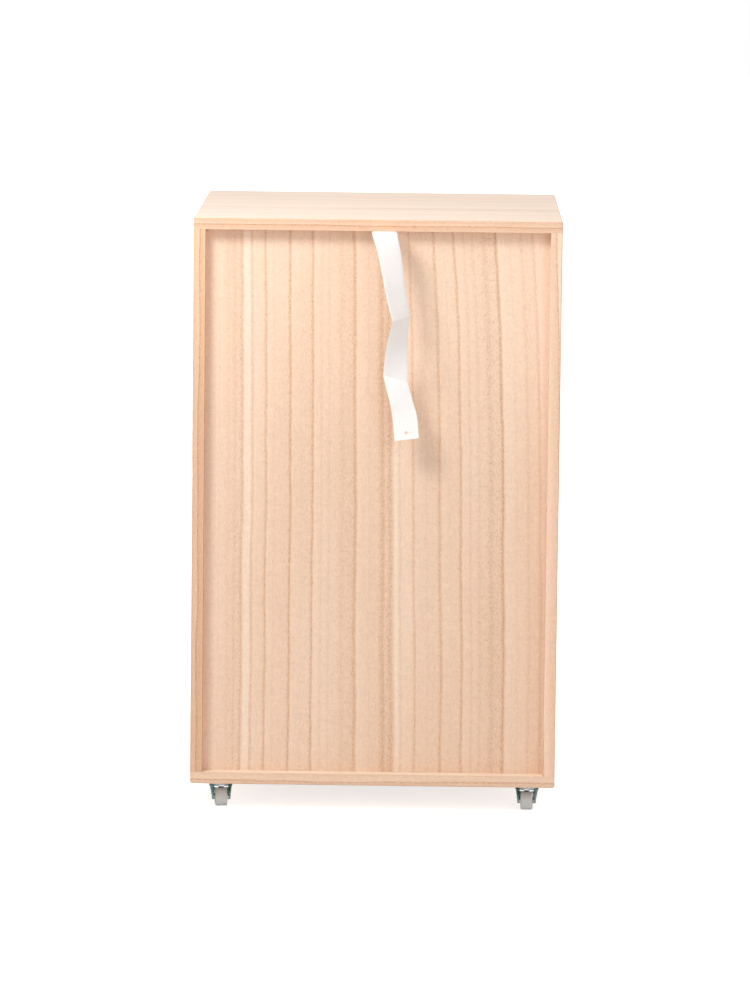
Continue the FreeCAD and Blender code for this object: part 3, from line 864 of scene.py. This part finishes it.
def addCheek(bm, place, side):
    levels = [20.9, 20.0, 19.2, 18.2, 17.0, 15.8, 14.6, 13.4, 12.2, 11.2, 10.3, 9.5, 8.7, 7.9, 7.2, 6.7]
    levels.append(caster["footLevel"])
    outer, inner = [], []
    for z in levels:
        for row, inset in ((outer, 0.0), (inner, caster["sheet"])):
            row.append([bm.verts.new(place @ Vector((side * x, y, z))) for x, y in cheekRow(z, inset)])
    loops = [o + n[::-1] for o, n in zip(outer, inner)]
    count, width = len(loops[0]), len(outer[0])
    for a, b in zip(loops, loops[1:]):
        for k in range(count):
            face = bm.faces.new((a[k], a[(k + 1) % count], b[(k + 1) % count], b[k]))
            # Painted shade: the cheek's inner faces, towards the wheel, take the near-black metal
            face.material_index = 2 if width <= k < count - 1 else 0
    for loop in (loops[0], loops[-1]):
        for k in range(width - 1):
            bm.faces.new((loop[k], loop[k + 1], loop[count - 2 - k], loop[count - 1 - k]))


def forkMesh(place):
    bm = bmesh.new()
    addCrown(bm, place)
    for side in (1, -1):
        addCheek(bm, place, side)
    return bm


def seat(piece, body, node):
    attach(piece, body)
    if node:
        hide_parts(node)


def cornerTitle(corner):
    return "".join(word.title() for word in corner.split("_"))


def dressCaster(corner, place):
    title = cornerTitle(corner)
    fork, axle, wheel = ("caster_%s_%s" % (part, corner) for part in ("fork", "axle", "wheel"))
    parts = (
        ("casterFork" + title, forkMesh(place), forkSteel, fork, fork, "caster_fork_chrome"),
        ("casterAxle" + title, pinMesh(place), pinSteel, fork, axle, "bearing_steel"),
        ("casterWheel" + title, wheelMesh(place), wheelGrey, wheel, wheel, "wheel_plastic"),
    )
    for name, bm, finish, body, node, slot in parts:
        bmesh.ops.recalc_face_normals(bm, faces=bm.faces)
        piece = addMesh(name, bm, finish, 32)
        if finish == forkSteel:
            # slot 1: the painted highlight metal for the lip
            piece.data.materials.append(paintedHighlightSteel)
            # slot 2: the painted shade metal for the fork's inside faces
            piece.data.materials.append(paintedShadeSteel)
        seat(piece, body, node)


places = casterPlaces()
for corner, place in places.items():
    dressCaster(corner, place)
print("casters dressed:", len(places))

screws = {
    "plateSpread": 12.6,      # of the four screws under a caster plate, each way from its middle
    "plateUnder": 25.5,
    "panRadius": 2.6,
    "panHeight": 1.5,
    "slotLength": 2.9,
    "slotWidth": 0.62,
    "slotDepth": 1.0,
    "runnerRadius": 2.0,
    "runnerDeep": 0.8,
    "runnerPlaces": (0.084, 0.5, 0.916),      # shares of a runner's length
    "runnerUp": 39.0,         # a runner's middle above the underside of its drawer
    "washerBore": 1.9,
    "washerRadius": 4.2,
    "washerThick": 0.6,
    "washerUp": 2.2,          # its upper face above the lowest point of the strap's screw
}


def screwHead(radius, height, flush=False):
    # Cross-recessed head, its flat side at zero and its round side up.
    if flush:
        profile = [(0, 0.12), (radius - 0.15, 0.1), (radius, 0.0), (radius * 0.6, -height), (0, -height)]
    else:
        profile = [(0, height), (radius * 0.45, height * 0.97), (radius * 0.75, height * 0.82)]
        profile += [(radius * 0.93, height * 0.5), (radius, height * 0.15), (radius, 0), (0, 0)]
    bm = bmesh.new()
    turn(bm, profile, Matrix.Identity(4), 28, closed=False)
    bmesh.ops.recalc_face_normals(bm, faces=bm.faces)
    head = addMesh("headBlank", bm, zincPlate)
    top = Matrix.Translation((0, 0, profile[0][1]))
    slotLength = radius / screws["panRadius"] * screws["slotLength"]
    size = Matrix.Diagonal((slotLength, screws["slotWidth"], 2 * screws["slotDepth"], 1))
    for turned in (0, 90):
        cutter = bmesh.new()
        place = top @ Matrix.Rotation(math.radians(turned), 4, "Z") @ size
        bmesh.ops.create_cube(cutter, size=1, matrix=place)
        cutAway(head, addMesh("slotTool", cutter, zincPlate))
    data = head.data
    bpy.data.objects.remove(head)
    return data


def stamp(bm, blank, place):
    # Adds a copy of a finished mesh to bm; place is in millimetres.
    copy = bmesh.new()
    copy.from_mesh(blank)
    copy.transform(Matrix.Diagonal((mm, mm, mm, 1)) @ place)
    spare = bpy.data.meshes.new("spare")
    copy.to_mesh(spare)
    copy.free()
    bm.from_mesh(spare)
    bpy.data.meshes.remove(spare)


def setScrews(name, blank, spots):
    # One piece with a copy of the blank at each spot: (x, y, z, direction of the head, turn).
    bm = bmesh.new()
    for x, y, z, way, turned in spots:
        aim = Vector(way).to_track_quat("Z", "Y").to_matrix().to_4x4()
        aim = aim @ Matrix.Rotation(math.radians(turned), 4, "Z")
        stamp(bm, blank, Matrix.Translation((x, y, z)) @ aim)
    piece = addMesh(name, bm, zincPlate, 30)
    seat(piece, "carcass", None)


def setPlateScrews(corner, place, order):
    # Four under the corners of the plate, no two turned alike.
    centre = place.translation / mm
    spread = screws["plateSpread"]
    spots = []
    for i, (a, b) in enumerate(((1, 1), (1, -1), (-1, -1), (-1, 1))):
        x, y = centre.x + a * spread, centre.y + b * spread
        spots.append((x, y, screws["plateUnder"], (0, 0, -1), 37 * i + 61 * order))
    setScrews("plateScrews" + cornerTitle(corner), panHead, spots)


def setRunnerScrews(hand, way):
    low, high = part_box(hand + "_runners")
    face = (high.x if way > 0 else low.x) / mm
    spots = []
    for number in drawerNumbers:
        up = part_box("drawer_%d_left_side" % number)[0].z / mm + screws["runnerUp"]
        for i, share in enumerate(screws["runnerPlaces"]):
            y = (low.y + (high.y - low.y) * share) / mm
            spots.append((face, y, up, (way, 0, 0), 29 * i + 53 * number))
    setScrews(hand + "RunnerScrews", flatHead, spots)


def setStrapScrew():
    # Washer and pan head under the tab of the strap
    low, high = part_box("strap_screw")
    x, y = (low.x + high.x) / 2 / mm, (low.y + high.y) / 2 / mm
    under = low.z / mm + screws["washerUp"]
    bore, r, t = screws["washerBore"], screws["washerRadius"], screws["washerThick"]
    washer = [(bore, 0), (bore, -t + 0.1), (bore + 0.1, -t), (r - 0.15, -t), (r, -t + 0.12), (r, 0)]
    bm = bmesh.new()
    turn(bm, washer, Matrix.Diagonal((mm, mm, mm, 1)) @ Matrix.Translation((x, y, under)), 40)
    upsideDown = Matrix.Rotation(math.pi, 4, "X") @ Matrix.Rotation(0.4, 4, "Z")
    stamp(bm, panHead, Matrix.Translation((x, y, under - t)) @ upsideDown)
    piece = addMesh("strapScrewAndWasher", bm, zincPlate, 30)
    seat(piece, "carcass", "strap_screw")


panHead = screwHead(screws["panRadius"], screws["panHeight"])
flatHead = screwHead(screws["runnerRadius"], screws["runnerDeep"], flush=True)
for order, (corner, place) in enumerate(places.items()):
    setPlateScrews(corner, place, order)
setRunnerScrews("left", 1)
setRunnerScrews("right", -1)
setStrapScrew()
print("screws set")

finishes = {
    "top_panel": woods["top"],
    "bottom_panel": woods["bottom"],
    "left_side_panel": woods["left"],
    "right_side_panel": woods["right"],
    "back_panel": woods["back"],
    "left_runners": woods["runner"],
    "right_runners": woods["runner"],
    "strap_screw": zincPlate,
    "caster_king_rivets": pinSteel,
}
for number in drawerNumbers:
    finishes["drawer_%d_front" % number] = woods["front"]
    finishes["drawer_%d_left_side" % number] = woods["drawerSide"]
    finishes["drawer_%d_right_side" % number] = woods["drawerSide"]
    finishes["drawer_%d_back" % number] = woods["drawerBack"]
    finishes["drawer_%d_bottom" % number] = woods["drawerBottom"]
for corner in places:
    finishes["caster_plate_" + corner] = zincPlate
    finishes["caster_fork_" + corner] = forkSteel
    finishes["caster_axle_" + corner] = pinSteel
    finishes["caster_wheel_" + corner] = wheelGrey
for node, finish in finishes.items():
    for slot in frame["nodes"][node].material_slots:
        slot.material = finish
print("finishes given:", len(finishes))

studio = {
    "floorSize": 30.0,
    "floorColour": (246, 246, 246),
    "floorSpeck": (243, 243, 242),
    "floorGlow": 0.7,
    "glowReach": (330.0, 1100.0),   # where the floor's glow starts to rise and is full, in millimetres
    "sky": 0.47,
    "aim": (0, 0.1, 0.35),          # every softbox faces this place
    "boxes": {
        # name: place, size, power
        "keySoftbox": ((0.52, 0.82, 1.18), 0.34, 7.3),
        "rightSoftbox": ((-0.95, 1.7, 1.3), 1.3, 5.0),
        "frontSoftbox": ((-1.2, 3.3, 0.45), 2.0, 11.5),
        "topSoftbox": ((0.0, -0.25, 2.2), 0.8, 6.4),
        "drawerSoftbox": ((0.8, -2.6, 0.3), 0.56, 15.0),
    },
}


def seenDirectly(tree):
    # 1 where the camera, a reflection or a clear material looks on, 0 for light that falls on things.
    rays = tree.nodes.new("ShaderNodeLightPath").outputs
    through = calc(tree, "MAXIMUM", rays["Is Glossy Ray"], rays["Is Transmission Ray"])
    return calc(tree, "MAXIMUM", rays["Is Camera Ray"], through)


def makeFloor():
    bm = bmesh.new()
    bmesh.ops.create_grid(bm, x_segments=12, y_segments=12, size=studio["floorSize"] / 2)
    material, tree, shader = startMaterial("studioFloor")
    x, y, z = millimetres(tree)
    speck = noise(tree, vectorOf(tree, x, y, z), 0.02, 3.0)
    shader.inputs["Roughness"].default_value = 0.9
    shader.inputs["Specular IOR Level"].default_value = 0.1
    pale, speckled = shade(*studio["floorColour"]), shade(*studio["floorSpeck"])
    tone = blendColours(tree, between(tree, speck, 0.3, 0.7), pale, speckled)
    tree.links.new(tone, shader.inputs["Base Color"])
    # Seen straight on, the floor is lifted to white and still takes the shadow.
    glow = tree.nodes.new("ShaderNodeEmission")
    squares = calc(tree, "ADD", calc(tree, "MULTIPLY", x, x), calc(tree, "MULTIPLY", y, y))
    lift = between(tree, calc(tree, "SQRT", squares), *studio["glowReach"], studio["floorGlow"], 1.0)
    put(tree, glow.inputs["Strength"], calc(tree, "MULTIPLY", seenDirectly(tree), lift))
    total = tree.nodes.new("ShaderNodeAddShader")
    tree.links.new(shader.outputs[0], total.inputs[0])
    tree.links.new(glow.outputs[0], total.inputs[1])
    out = [n for n in tree.nodes if n.type == "OUTPUT_MATERIAL"][0]
    tree.links.new(total.outputs[0], out.inputs[0])
    floor = addMesh("studioFloor", bm, material)


def makeWorld():
    world = bpy.data.worlds.new("studio")
    bpy.context.scene.world = world
    world.use_nodes = True
    tree = world.node_tree
    tree.nodes.clear()
    out = tree.nodes.new("ShaderNodeOutputWorld")
    back = tree.nodes.new("ShaderNodeBackground")
    back.inputs["Color"].default_value = (1, 1, 1, 1)
    shown = calc(tree, "MULTIPLY", seenDirectly(tree), 1.0 - studio["sky"])
    put(tree, back.inputs["Strength"], calc(tree, "ADD", studio["sky"], shown))
    tree.links.new(back.outputs[0], out.inputs[0])


def softbox(name, place, size, power):
    data = bpy.data.lights.new(name, "AREA")
    data.shape = "SQUARE"
    data.size = size
    data.energy = power
    lamp = bpy.data.objects.new(name, data)
    bpy.context.scene.collection.objects.link(lamp)
    lamp.location = place
    ahead = Vector(studio["aim"]) - Vector(place)
    lamp.rotation_euler = ahead.to_track_quat("-Z", "Y").to_euler()


makeFloor()
makeWorld()
for name, (place, size, power) in studio["boxes"].items():
    softbox(name, place, size, power)
print("studio set")
